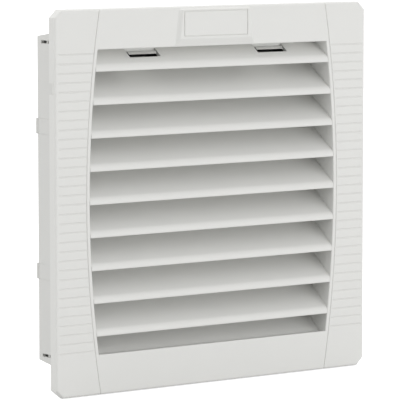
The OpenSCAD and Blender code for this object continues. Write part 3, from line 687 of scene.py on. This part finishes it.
@dataclass
class Cover:
    """Hinged louvre cover: bands, cheeks, louvre box, rim, pull pad, barrels and blades."""

    front: Front = field(default_factory=Front)
    box_y: float = 17.3
    box_wall: float = 2.0
    box_ease: float = 0.3
    box_corner_edge: float = 0.01
    sill_sink: float = 1.0
    notch_z: float = 60.25
    notch_half: float = 2.95
    notch_depth: float = 1.8
    hinge_x: float = 55.0
    hinge_y: float = -3.0
    hinge_z: float = -98.3
    hinge_round: float = 2.7
    barrel_r: float = 2.4
    barrel_len: float = 5.0
    barrel_bore: float = 0.9
    barrel_ease: float = 0.3
    eye_half: float = 4.5
    eye_room_y: float = -5.1
    eye_room_z: float = 94.2
    eye_skin: float = 0.05
    latch_x: float = LATCH_X
    window_half: float = 9.75
    window_y: tuple[float, float] = (-0.85, 4.9)
    post_room: float = 11.75
    post_y: float = 14.4
    first_lip: float = 68.37
    pitch: float = 17.33
    blades: int = 9
    lip_h: float = 3.1
    lip_t: float = 1.4
    slope: float = BLADE_SLOPE
    blade_t: float = 2.0
    blade_end: float = 14.8
    blade_room: float = 0.05
    bend_r: float = 4.0
    pad_foot: float = 80.37
    pad_break: float = 84.07
    pad_top: float = 99.9
    pad_rise: float = 1.1
    pad_half_foot: float = 26.0
    pad_half_top: float = 23.5
    pad_side: float = 2.6
    pad_round: float = 1.05
    pad_bed: float = 0.2
    pad_sink: float = 0.1
    field_half: float = 20.8
    field_z: tuple[float, float] = (85.07, 98.77)
    field_depth: float = 0.4
    field_line: float = 0.6
    field_step: float = 0.12
    rim_round: float = 0.25

    def side_band(self, s: int) -> Solid:
        """Band outside a seam: rows up the cover, columns from the seam's arc to the outer edge.

        Args:
            s: -1 for the left band, 1 for the right.

        Returns:
            The band as a plate, with the rim's side notch cut from its back edge.
        """
        f = self.front
        ends = f.half - np.concatenate([near(f.edge), np.linspace(1.5, 3.6, 7), [f.cut, f.cut + 0.5, 6]])
        grips = (np.arange(f.grips) - (f.grips - 1) / 2)[:, None] * f.grip_pitch
        grips = (grips + np.linspace(-1, 1, 7) * f.grip_half).ravel()
        marks = np.array([self.notch_z - self.notch_half, self.notch_z + self.notch_half])
        z = np.sort(np.concatenate([-ends, ends, grips, marks, marks, [-90, -85, 85, 90]]))[:, None]
        cut = np.zeros_like(z, bool)
        low, high = (int(np.searchsorted(z[:, 0], m)) for m in marks)
        cut[low + 1:high + 1] = True
        a, b = f.seam_line(z), f.outer(z)
        # Columns stand close together in the seam's V and on the outer round
        inner = np.array([0, 0.12, 0.24, 0.35, 0.6, 0.9, 1.25])
        outer = np.concatenate([[3.4, 3.0, 2.6, 2.2, 1.9, 1.6, 1.35], near(f.edge, 8)[::-1]])
        middle = np.linspace(0, 1, 7)[1:-1]
        between = (a + inner[-1]) * (1 - middle) + (b - outer[0]) * middle
        x = np.concatenate([a + inner, between, b - outer], axis=1)
        held = np.where(cut, np.minimum(x, b - self.notch_depth), x)
        z = z + 0 * x
        skin = np.stack([s * x, f.relief(x, z), z], -1)
        return slab(skin, np.stack([s * held, 0 * x + f.inner_y, z], -1))

    def end_band(self, s: int) -> Solid:
        """Band above or below the opening, between the two seams.

        Args:
            s: 1 for the top band, -1 for the bottom one, whose back has room for the hinge eyes.

        Returns:
            The band as a plate.
        """
        f = self.front
        rows = [80.9, 82.5, 85, 88, 91, self.eye_room_z, self.eye_room_z, 96, 98, 99.4]
        z = np.concatenate([f.opening_top + near(f.lip_round), rows, f.half - near(f.edge, 8)[::-1]])[:, None]
        # Columns stand close together in the seam's V and on the round of the opening's corner
        seam = np.array([0, 0.12, 0.24, 0.35, 0.6, 1.0, 1.35, 1.6, 1.7, 1.8, 1.9, 2.0, 2.1, 2.6, 3.4])
        rooms = np.concatenate([self.hinge_x + np.array([-1, -1, 1, 1]) * self.eye_half, [20.0, 35, 66]])
        inside = np.sort(np.concatenate([-rooms, rooms, [0.0]]))
        reach = f.seam_line(z)
        x = np.concatenate([-(reach - seam), inside + 0 * z, (reach - seam)[:, ::-1]], axis=1)
        z = z + 0 * x
        y = f.relief(x, z)
        back = np.full_like(y, f.inner_y)
        if s < 0:
            column = np.arange(x.shape[1]) - len(seam)
            first, second = np.searchsorted(inside, np.array([-1, 1]) * self.hinge_x - self.eye_half)
            room = ((column > first) & (column <= first + 2)) | ((column > second) & (column <= second + 2))
            row = np.arange(z.shape[0]) > int(np.searchsorted(z[:, 0], self.eye_room_z))
            deep = np.maximum(self.eye_room_y, y + self.eye_skin)
            back = np.where(room[None, :] & row[:, None], deep, back)
        return slab(np.stack([x, y, s * z], -1), np.stack([x, back, s * z], -1))

    def cheek_wall(self, s: int) -> Solid:
        """Bowed side wall of the louvre box, whose front edge is the cheek beside the opening.

        Args:
            s: -1 for the left wall, 1 for the right.

        Returns:
            The wall: one cross-section carried up along the bow.
        """
        f = self.front
        z = np.linspace(-f.opening_top, f.opening_top, 81)[:, None]
        t = np.concatenate([near(f.lip_round), [0.9, 1.4, 1.75, 1.86, 1.98, 2.1]])
        x = f.side(z, f.opening_half) + t
        y = f.relief(x, z + 0 * x)
        ease, end = self.box_ease, self.box_y
        tail_t = np.array([f.cheek, f.cheek - ease, ease, 0])
        tail_y = np.array([end - ease, end, end, end - ease])
        xs = np.concatenate([x, f.side(z, f.opening_half) + tail_t], axis=1)
        ys = np.concatenate([y, tail_y + 0 * z], axis=1)
        return loft(np.stack([s * xs, ys, z + 0 * xs], -1))

    def box_end(self, s: int) -> Solid:
        """Top or bottom wall of the louvre box.

        The top one is cut back where the latch posts stand, and the bottom one lies a little below the band's
        edge.

        Args:
            s: 1 for the top wall, -1 for the bottom one.

        Returns:
            The wall as a plate.
        """
        f = self.front
        room = np.array([-1, -1, 1, 1]) * self.post_room
        marks = np.concatenate([room - self.latch_x, room + self.latch_x])
        limit = float(f.side(np.array(f.opening_top), f.opening_half)) + f.cheek
        x = np.concatenate([[-limit], marks, [limit]])
        cut = np.array([0, 0, 1, 1, 0, 0, 1, 1, 0, 0], bool) & (s > 0)
        end = np.where(cut, self.post_y, self.box_y)
        u = np.linspace(0, 1, 6)[:, None]
        y = f.inner_y + (end - f.inner_y) * u
        sink = 0.0 if s > 0 else self.sill_sink
        lower = np.stack([x + 0 * y, y, np.full_like(y, s * (f.opening_top + sink))], -1)
        return slab(lower, lower + np.array([0, 0, s * (self.box_wall - sink)]))

    def box_corner(self, s: int) -> Solid:
        """Block at a lower corner of the louvre box, from the cheek wall's foot down to the sunk bottom wall.

        Args:
            s: -1 for the left corner, 1 for the right.

        Returns:
            The block.
        """
        f = self.front
        x0 = float(f.side(np.array(f.opening_top), f.opening_half))
        x1, y0, y1 = x0 + f.cheek, f.inner_y, self.box_y
        outline = np.array([[x0, y0], [x1, y0], [x1, y1], [x0, y1]]) * np.array([s, 1])
        return prism(outline, -f.opening_top - self.sill_sink, -f.opening_top, self.box_corner_edge, 2)

    def rim_run(self, path: Array, normal: Array, cut: Array) -> Solid:
        """Stretch of the rim wall behind the bands: a wall section carried along the cut square.

        The back edge lies at the rim's level, and below the hinge axis on the arc that lets the cover swing:
        y = hinge_y + sqrt(R^2 - (z - hinge_z)^2).

        Args:
            path: Points of the outline in X and Z.
            normal: Inward directions at those points.
            cut: Depth taken off the outside at each point.

        Returns:
            The stretch, closed at both ends.
        """
        f = self.front
        u = (1 - np.cos(np.linspace(0, math.pi, 15))) / 2
        o = cut[:, None] + (f.wall - cut[:, None]) * u
        at = path[:, None] + normal[:, None] * o[..., None]
        low = np.minimum(at[..., 1] - self.hinge_z, 0)
        swing = self.hinge_y + np.sqrt(np.maximum(self.hinge_round ** 2 - low ** 2, 0))
        edge = np.minimum(o - o[:, :1], f.wall - o)
        back = np.minimum(f.rim_y - fillet(edge, self.rim_round), swing)
        first, last = (path + normal * cut[:, None])[:, None], at[:, -1:]
        spots = np.concatenate([first, at, last], axis=1)
        foot = np.full_like(o[:, :1], f.inner_y)
        ys = np.concatenate([foot, back, foot], axis=1)
        return loft(np.stack([spots[..., 0], ys, spots[..., 1]], -1))

    def rim(self) -> list[Solid]:
        """Rim wall in two stretches, parted where the hinge eyes come through.

        At each corner the path leans in by the mitre (a + b) / (1 + a . b) of its two sides' inward
        directions a and b.

        Returns:
            The long stretch over the top, and the short one between the hinges.
        """
        f = self.front
        h, reach, d = f.half, f.half - f.cut, math.sqrt(0.5)
        lo, hi = self.notch_z - self.notch_half, self.notch_z + self.notch_half
        right = np.array([[self.hinge_x + self.eye_half, -h], [reach, -h], [h, -reach], [h, lo], [h, lo],
                          [h, hi], [h, hi], [h, reach], [reach, h]])
        before = np.array([[0, 1], [0, 1], [-d, d]] + [[-1, 0]] * 5 + [[-d, -d]])
        after = np.array([[0, 1], [-d, d]] + [[-1, 0]] * 5 + [[-d, -d], [0, -1]])
        mitre = (before + after) / (1 + (before * after).sum(1, keepdims=True))
        deep = np.array([0, 0, 0, 0, 1, 1, 0, 0, 0]) * self.notch_depth
        flip = np.array([-1, 1])
        path, normal = (np.concatenate([half, half[::-1] * flip]) for half in (right, mitre))
        long = self.rim_run(path, normal, np.concatenate([deep, deep[::-1]]))
        inner = self.hinge_x - self.eye_half
        short = np.stack([np.linspace(-inner, inner, 9), np.full(9, -h)], -1)
        return [long, self.rim_run(short, np.tile([0.0, 1.0], (9, 1)), np.zeros(9))]

    def pull_pad(self) -> Solid:
        """Raised pad over the opening: a sloped foot and sides, a rounded top, and a plain field in a groove.

        Height over the face is the lesser of the foot's and the side's slope, each eased at both ends, less
        the round of the top, less the groove: full depth between the field's edge and field_line inside it.

        Returns:
            The pad, sunk a little into the top band.
        """
        f = self.front
        ramp, step = self.pad_break - self.pad_foot, self.field_step
        border = np.array([0, step, self.field_line - step, self.field_line])
        z = np.concatenate([self.pad_foot + ramp * np.linspace(0, 1.15, 14),
                            self.field_z[0] + border, [89, 92, 95], self.field_z[1] - border[::-1],
                            self.pad_top - near(self.pad_round)[::-1]])
        z = np.unique(np.round(z, 4))[:, None]
        up = (z - self.pad_foot) / (self.pad_top - self.pad_foot)
        w = self.pad_half_foot + (self.pad_half_top - self.pad_half_foot) * up
        d = np.concatenate([self.pad_side * np.linspace(0, 1, 9), [self.pad_side + 0.04]])
        inside = np.concatenate([self.field_half - border, [14, 7]])
        x = np.concatenate([-(w - d), -inside + 0 * z, 0 * z, inside[::-1] + 0 * z, (w - d)[:, ::-1]], axis=1)

        def eased(u: Array) -> Array:
            """Slope from 0 to 1, half straight and half the smooth step u^2 (3 - 2u)."""
            u = np.clip(u, 0, 1)
            return 0.5 * u + 0.5 * u * u * (3 - 2 * u)

        foot, side = eased((z - self.pad_foot) / ramp), eased((w - np.abs(x)) / self.pad_side)
        h = self.pad_rise * np.minimum(foot, side)
        within = np.minimum(self.field_half - np.abs(x), np.minimum(z - self.field_z[0], self.field_z[1] - z))
        groove = self.field_depth * np.clip(np.minimum(within, self.field_line - within) / step, 0, 1)
        h = np.maximum(h - fillet(self.pad_top - z, self.pad_round) - groove, -self.pad_sink)
        z = z + 0 * x
        bed = np.full_like(x, f.face_y + self.pad_bed)
        return slab(np.stack([x, f.face_y - h, z], -1), np.stack([x, bed, z], -1))

    def barrels(self) -> list[Solid]:
        """Hinge barrels beside the two eyes: short round bars with eased rims, turned about X.

        Returns:
            Four barrels, one on each side of each eye.
        """
        r, h, bore, ease = self.barrel_r, self.barrel_len / 2, self.barrel_bore, self.barrel_ease
        profile = np.array([[-h, bore], [-h, r - ease], [-h + ease, r],
                            [h - ease, r], [h, r - ease], [h, bore]])
        away = self.eye_half + h
        return [lathe(profile, (s * self.hinge_x + t * away, self.hinge_y, self.hinge_z), 0)
                for s in (-1, 1) for t in (-1, 1)]

    def blade_outline(self, z: float, y0: Optional[float] = None, y1: Optional[float] = None) -> Array:
        """Section of a blade in Y and Z: an upright rounded lip, then a plate that climbs back at the slope.

        Args:
            z: Height of the lip's lower edge.
            y0: Start of the stretch to keep, or the lip's face.
            y1: End of the stretch to keep, or the blade's rear edge.

        Returns:
            The section's points in order.
        """
        f, rise = self.front, math.tan(math.radians(self.slope))
        thick = self.blade_t / math.cos(math.radians(self.slope))
        top = f.opening_top - self.blade_room
        end = self.blade_end if y1 is None else y1

        def upper(y: float) -> float:
            """Height of the upper skin at y."""
            return z + self.lip_h + (y - f.face_y) * rise

        if z + self.lip_h < -top:
            low = -top - self.sill_sink
            foot = f.face_y + (low - z - self.lip_h) / rise
            face = [(foot, low, 0.05), (foot + thick / rise, low, 0.05)]
        elif y0 is not None:
            face = [(y0, upper(y0), 0.15), (y0, upper(y0) - thick, 0.15)]
        else:
            bend = f.face_y + self.lip_t
            face = [(f.face_y, upper(f.face_y), self.bend_r), (f.face_y, z, 0.45), (bend, z, 0.45),
                    (bend, upper(bend) - thick, 0.4)]
        if upper(end) <= top:
            rear = [(end, upper(end) - thick, 0.3), (end, upper(end), 0.3)]
        else:
            cut = f.face_y + (top - z - self.lip_h) / rise
            rear = [(cut + thick / rise, top, 0.1), (cut, top, 0.1)]
        return rounded(face + rear, 9)

    def blade_run(self, outline: Array, x0: Optional[float], x1: Optional[float]) -> Solid:
        """Blade section carried along X, ending on the opening's bowed sides where no end is given.

        Args:
            outline: Section in Y and Z.
            x0: Left end, or none.
            x1: Right end, or none.

        Returns:
            The stretch of blade.
        """
        f = self.front
        ends = f.side(outline[:, 1], f.opening_half - self.blade_room)
        a = -ends if x0 is None else np.full(len(outline), x0)
        b = ends if x1 is None else np.full(len(outline), x1)
        u = np.array([0, 0.25, 0.5, 0.75, 1])[:, None]
        x = a + (b - a) * u
        return loft(np.stack([x, outline[:, 0] + 0 * x, outline[:, 1] + 0 * x], -1))

    def blade_set(self) -> list[Solid]:
        """All blades, and one without a lip behind the opening's lower edge.

        Returns:
            The blades, the top one in strips that leave the two latch windows open.
        """
        made = [self.blade_run(self.blade_outline(self.first_lip - i * self.pitch), None, None)
                for i in range(1, self.blades + 1)]
        near_x, far_x = self.latch_x - self.window_half, self.latch_x + self.window_half
        whole = self.blade_outline(self.first_lip)
        made += [self.blade_run(whole, None, -far_x), self.blade_run(whole, -near_x, near_x),
                 self.blade_run(whole, far_x, None)]
        parts = [self.blade_outline(self.first_lip, None, self.window_y[0]),
                 self.blade_outline(self.first_lip, self.window_y[1], None)]
        windows = [(-far_x, -near_x), (near_x, far_x)]
        return made + [self.blade_run(part, *window) for part in parts for window in windows]

    def build(self) -> None:
        """Makes the cover's pieces, and dresses the latch pockets and hinge pins."""
        piece("cover_side_bands", [self.side_band(s) for s in (-1, 1)], COVER, "cover", ["cover_frame"])
        piece("cover_end_bands", [self.end_band(s) for s in (1, -1)], COVER, "cover", ["cover_frame"])
        piece("cover_pull_pad", [self.pull_pad()], COVER, "cover", ["cover_frame"])
        walls = [make(s) for make in (self.cheek_wall, self.box_end, self.box_corner) for s in (-1, 1)]
        piece("cover_louvre_box", walls, COVER, "cover", ["cover_frame"])
        piece("cover_rim", self.rim() + self.barrels(), COVER, "cover", ["cover_frame"])
        piece("cover_blades", self.blade_set(), COVER, "cover", ["louvre_blades"])
        # The latch pockets take painted shade inside their hollows from this finish
        dress("latch_pockets", POCKET_SHADE)
        dress("hinge_pins", STEEL)


@dataclass
class Latches:
    """Two hooks that reach forward through the windows of the top blade."""

    x: float = LATCH_X
    half: float = 8.75
    tip: float = 1.15
    back: float = 4.6
    arm_top: float = 76.467
    arm_t: float = 1.8
    barb_top: float = BARB_TOP
    ramp_start: float = 76.415
    ramp_end: float = 2.873
    edge: float = 0.2
    wedge: float = 6.5
    skin: float = 0.6
    side: float = 3.0
    arm_tip: float = 0.4
    arm_back: float = 0.1
    root: tuple[float, float] = (15.9, 75.567)

    def arm(self) -> Array:
        """Section of a hook's arm in Y and Z: a wedge with a ramp and a barb that thins to a slim root.

        Returns:
            The section's points, its barb half a skin below the tongue's top.
        """
        low, top = self.arm_top - self.arm_t, self.barb_top - self.skin / 2
        back = self.back - self.arm_back
        return rounded([(self.tip + self.arm_tip, self.ramp_start - self.edge, 0.03),
                        (self.ramp_end, top, 0.1), (back, top, 0.1), (back, self.arm_top, 0.1),
                        (self.root[0], self.arm_top, 0.1), (self.root[0], low, 0.1),
                        (self.tip + self.wedge, low, 1.0)])

    def tongue(self) -> Array:
        """Section of the wider tongue on the arm: a thin skin that follows the ramp and the barb's top.

        Returns:
            The section's points in order.
        """
        low = self.barb_top - self.skin
        return rounded([(self.tip, self.ramp_start - self.edge, 0.06), (self.tip, self.ramp_start, 0.06),
                        (self.ramp_end, self.barb_top, 0.3), (self.back, self.barb_top, 0.15),
                        (self.back, low, 0.15), (self.ramp_end, low, 0.15)])

    def hook(self, x: float) -> list[Solid]:
        """One hook: sections carried along X.

        Args:
            x: Middle of the hook.

        Returns:
            Its tongue, arm and round root.
        """
        slim, ring = self.half - self.side, circle(*self.root, self.arm_t / 2)
        return [prism(self.tongue(), x - self.half, x + self.half, 0.04, 0),
                prism(self.arm(), x - slim, x + slim, 0.05, 0),
                prism(ring, x - self.half, x + self.half, 0.2, 0)]

    def build(self) -> None:
        """Makes one hook for each side."""
        for s, side in ((-1, "left"), (1, "right")):
            hook = self.hook(s * self.x)
            # The arm and root under the tongue get painted shade from the hook's finish
            piece("latch_tongue_" + side, hook, LATCH, "latch_" + side, ["latch_hook_" + side])


@dataclass
class Mount:
    """Snap-in mounting frame with its seal, snap arms and filter mat."""

    seal_in: float = 89.5
    seal_out: float = 94.5
    seal_t: float = 1.2
    seal_edge: float = 0.35
    seal_corner: float = 1.2
    snap_z: float = 38.5
    snap_half: float = 4.06
    collar_half: float = 87.6
    crest: tuple[float, float] = (90.6, 5.5)
    nose: float = 2.2
    snap_t: float = 1.5
    snap_edge: float = 0.05
    root: tuple[float, float] = (86.8, 32.6)
    flush: float = 14.0
    root_r: float = 1.4
    mat_half: float = 84.2
    mat_y: tuple[float, float] = (17.6, 27.6)
    mat_edge: float = 3.2
    mat_room: tuple[float, float] = (0.35, 0.05)
    mat_swell: float = 0.14

    def seal(self) -> Solid:
        """Foam strip round the flange: a soft-edged section carried round a square.

        Returns:
            The closed strip.
        """
        def square(h: float, r: float) -> Array:
            """Square outline of half width h with corners of radius r."""
            return rounded([(h, -h, r), (h, h, r), (-h, h, r), (-h, -h, r)], 6)

        t, r = np.linspace(0, math.pi / 2, 4), self.seal_edge
        mid, width = (self.seal_in + self.seal_out) / 2, (self.seal_out - self.seal_in) / 2
        turn = np.concatenate([t, t + math.pi / 2, t + math.pi, t + 1.5 * math.pi])
        out = np.sign(np.cos(turn + 1e-6)) * (width - r) + r * np.cos(turn)
        up = np.sign(np.sin(turn + 1e-6)) * (self.seal_t / 2 - r) + r * np.sin(turn)
        rings = [np.insert(square(mid + o, self.seal_corner + o / 4), 1, y - self.seal_t / 2, axis=1)
                 for o, y in zip(out, up)]
        return loft(np.stack(rings), looped=True)

    def snap_arm(self, s: int, t: int) -> list[Solid]:
        """Springy arm whose ramp grips the panel's edge, and its round root.

        Args:
            s: -1 for the left side, 1 for the right.
            t: -1 for the lower arm, 1 for the upper.

        Returns:
            The arm and its root.
        """
        inner = self.collar_half - self.snap_t
        corners = [(self.collar_half, self.root[1], 0.1), (self.collar_half, self.flush, 2.0),
                   (*self.crest, 0.6), (self.collar_half, self.nose, 0.3), (inner, self.nose, 0.3),
                   (self.crest[0] - self.snap_t, self.crest[1] + self.snap_t, 0.4), (inner, self.flush, 2.0),
                   (inner, self.root[1], 0.1)]
        outline = rounded(corners) * np.array([s, 1])
        ring = circle(s * self.root[0], self.root[1], self.root_r)
        low, high = t * self.snap_z - self.snap_half, t * self.snap_z + self.snap_half
        return [prism(section, low, high, self.snap_edge, 2) for section in (outline, ring)]

    def mat(self) -> Solid:
        """Filter mat: soft-edged fleece whose front swells and wanders by a sum of slow waves.

        Returns:
            The mat as a plate.
        """
        u = np.sin(np.linspace(-1, 1, 97) * math.pi / 2)
        x, z = np.meshgrid(u * self.mat_half, u * self.mat_half, indexing="xy")
        d = self.mat_half - np.maximum(np.abs(x), np.abs(z))
        wave = (np.sin(x / 11.0 + 0.7) * np.cos(z / 13.0) + np.sin((x + z) / 7.3 + 2.1) * 0.5
                + np.cos((x - 2 * z) / 17.0) * 0.7)
        soft = fillet(d, self.mat_edge)
        front = self.mat_y[0] + self.mat_room[0] + self.mat_swell * wave + soft
        back = self.mat_y[1] - self.mat_room[1] - soft * 0.8
        return slab(np.stack([x, front, z], -1), np.stack([x, back, z], -1))

    def build(self) -> None:
        """Makes the soft and springy pieces, and dresses the frame's own solids."""
        piece("panel_seal", [self.seal()], SEAL, "base", ["panel_gasket"])
        for s, side in ((-1, "left"), (1, "right")):
            for t, level in ((1, "upper"), (-1, "lower")):
                name = f"{level}_{side}"
                piece("snap_" + name, self.snap_arm(s, t), FRAME, "snap_" + name, ["snap_arm_" + name])
        mat = piece("filter_fleece_mat", [self.mat()], FLEECE, "base", ["filter_mat"], 60)
        dress("mounting_frame", FRAME)
        dress("filter_support", FRAME)


@dataclass
class Fan:
    """Axial fan behind the frame: housing, motor, impeller, guard, screws and terminals."""

    finishes: dict[str, Finish] = field(default_factory=lambda: {
        "fan_housing": CASTING, "bearing_tube": BRASS, "bearing_front": STEEL, "bearing_rear": STEEL,
        "stator_core": LAMINATION, "stator_winding": COPPER, "rotor_cup": ROTOR, "rotor_cage": STEEL,
        "impeller": ROTOR, "shaft": STEEL, "retaining_clip": STEEL, "fan_screws": STEEL, "finger_guard": WIRE,
        "guard_screws": STEEL, "terminal_block": TERMINAL, "terminal_screws": STEEL})

    def build(self) -> None:
        """Dresses the fan's solids."""
        for node, finish in self.finishes.items():
            dress(node, finish)


@dataclass(frozen=True)
class Lamp:
    """Oblong lamp: its place and its size in metres, and its power in watts."""

    name: str
    place: tuple[float, float, float]
    size: tuple[float, float]
    power: float


@dataclass
class Studio:
    """Camera at the photograph's angle, soft lamps, white world and pale floor."""

    azimuth: float = -35.39
    elevation: float = 5.83
    distance: float = 1.629
    lens: float = 274.2
    shift: tuple[float, float] = (-0.038, -0.01325)
    target: tuple[float, float, float] = (0.0, -0.006, 0.0)
    sensor: float = 36.0
    clip: tuple[float, float] = (0.05, 50.0)
    ambient: float = 0.78
    floor_z: float = -0.1014
    floor_half: float = 6.0
    floor_tone: float = 0.6
    floor_glow: float = 0.75
    lamps: tuple[Lamp, ...] = (Lamp("key", (1.4, -2.3, 0.0), (2.4, 0.4), 26.0),
                               Lamp("top", (0.0, 0.25, 2.2), (2.0, 0.6), 14.0),
                               Lamp("side", (-2.3, 0.1, 0.5), (1.4, 1.0), 7.4))

    def camera(self) -> None:
        """Puts the camera on a sphere round the front's centre, looking at it."""
        a, e = math.radians(self.azimuth), math.radians(self.elevation)
        back = Vector((math.sin(a) * math.cos(e), -math.cos(a) * math.cos(e), math.sin(e)))
        data = bpy.data.cameras.new("view")
        data.lens, data.sensor_width = self.lens, self.sensor
        data.shift_x, data.shift_y = self.shift
        data.clip_start, data.clip_end = self.clip
        made = bpy.data.objects.new("view", data)
        made.location = Vector(self.target) + back * self.distance
        made.rotation_mode = "QUATERNION"
        made.rotation_quaternion = (-back).to_track_quat("-Z", "Y")
        bpy.context.scene.collection.objects.link(made)
        bpy.context.scene.camera = made

    def light(self, lamp: Lamp) -> None:
        """Puts up one lamp, aimed at the object.

        Args:
            lamp: The lamp to put up.
        """
        data = bpy.data.lights.new(lamp.name, "AREA")
        data.shape, data.energy = "RECTANGLE", lamp.power
        data.size, data.size_y = lamp.size
        made = bpy.data.objects.new(lamp.name, data)
        made.location = lamp.place
        made.rotation_mode = "QUATERNION"
        made.rotation_quaternion = (Vector(self.target) - Vector(lamp.place)).to_track_quat("-Z", "Y")
        bpy.context.scene.collection.objects.link(made)

    def world(self) -> None:
        """White where the camera, a reflection or a clear part sees it, and a softer grey as light."""
        world = bpy.data.worlds.new("studio")
        bpy.context.scene.world = world
        world.use_nodes = True
        tree = world.node_tree
        tree.nodes.clear()
        rays = tree.nodes.new("ShaderNodeLightPath")
        seen = rays.outputs["Is Camera Ray"]
        for name in ("Is Glossy Ray", "Is Transmission Ray"):
            node = tree.nodes.new("ShaderNodeMath")
            node.operation = "MAXIMUM"
            tree.links.new(seen, node.inputs[0])
            tree.links.new(rays.outputs[name], node.inputs[1])
            seen = node.outputs["Value"]
        light, white = (tree.nodes.new("ShaderNodeBackground") for _ in range(2))
        light.inputs["Strength"].default_value = self.ambient
        light.inputs["Color"].default_value = (1, 1, 1, 1)
        white.inputs["Color"].default_value = (1, 1, 1, 1)
        mix = tree.nodes.new("ShaderNodeMixShader")
        tree.links.new(seen, mix.inputs["Fac"])
        tree.links.new(light.outputs["Background"], mix.inputs[1])
        tree.links.new(white.outputs["Background"], mix.inputs[2])
        output = tree.nodes.new("ShaderNodeOutputWorld")
        tree.links.new(mix.outputs["Shader"], output.inputs["Surface"])

    def floor(self) -> None:
        """Pale floor: a flat square that keeps the shadow, with a little white of its own for the camera."""
        s = Sketch("pale_floor")
        s.shader.inputs["Base Color"].default_value = (*[self.floor_tone] * 3, 1)
        s.shader.inputs["Roughness"].default_value = 1.0
        s.shader.inputs["Specular IOR Level"].default_value = 0.0
        rays = s.add("ShaderNodeLightPath")
        s.shader.inputs["Emission Color"].default_value = (1, 1, 1, 1)
        mirrored = s.math("MAXIMUM", rays.outputs["Is Glossy Ray"], rays.outputs["Is Transmission Ray"])
        seen = s.math("MAXIMUM", rays.outputs["Is Camera Ray"], mirrored)
        glow = s.math("MULTIPLY", seen, self.floor_glow)
        s.tree.links.new(glow, s.shader.inputs["Emission Strength"])
        mesh = bpy.data.meshes.new("floor")
        ends = [-self.floor_half, self.floor_half]
        x, y = np.meshgrid(ends, ends, indexing="xy")
        points = np.stack([x, y, np.full_like(x, self.floor_z)], -1).reshape(-1, 3)
        mesh.from_pydata(points.tolist(), [], [[0, 1, 3, 2]])
        mesh.materials.append(s.material)
        made = bpy.data.objects.new("floor", mesh)
        bpy.context.scene.collection.objects.link(made)

    def build(self) -> None:
        """Sets the view transform, and makes camera, world, floor and lamps."""
        bpy.context.scene.view_settings.view_transform = "Standard"
        self.camera()
        self.world()
        self.floor()
        for lamp in self.lamps:
            self.light(lamp)


def main() -> None:
    """Builds the studio and the sub-assemblies in order."""
    logging.basicConfig(level=logging.INFO, format="%(name)s %(message)s")
    for part in (Studio(), Cover(), Latches(), Mount(), Fan()):
        LOG.info("building %s", type(part).__name__)
        part.build()


if __name__ == "__main__":
    main()
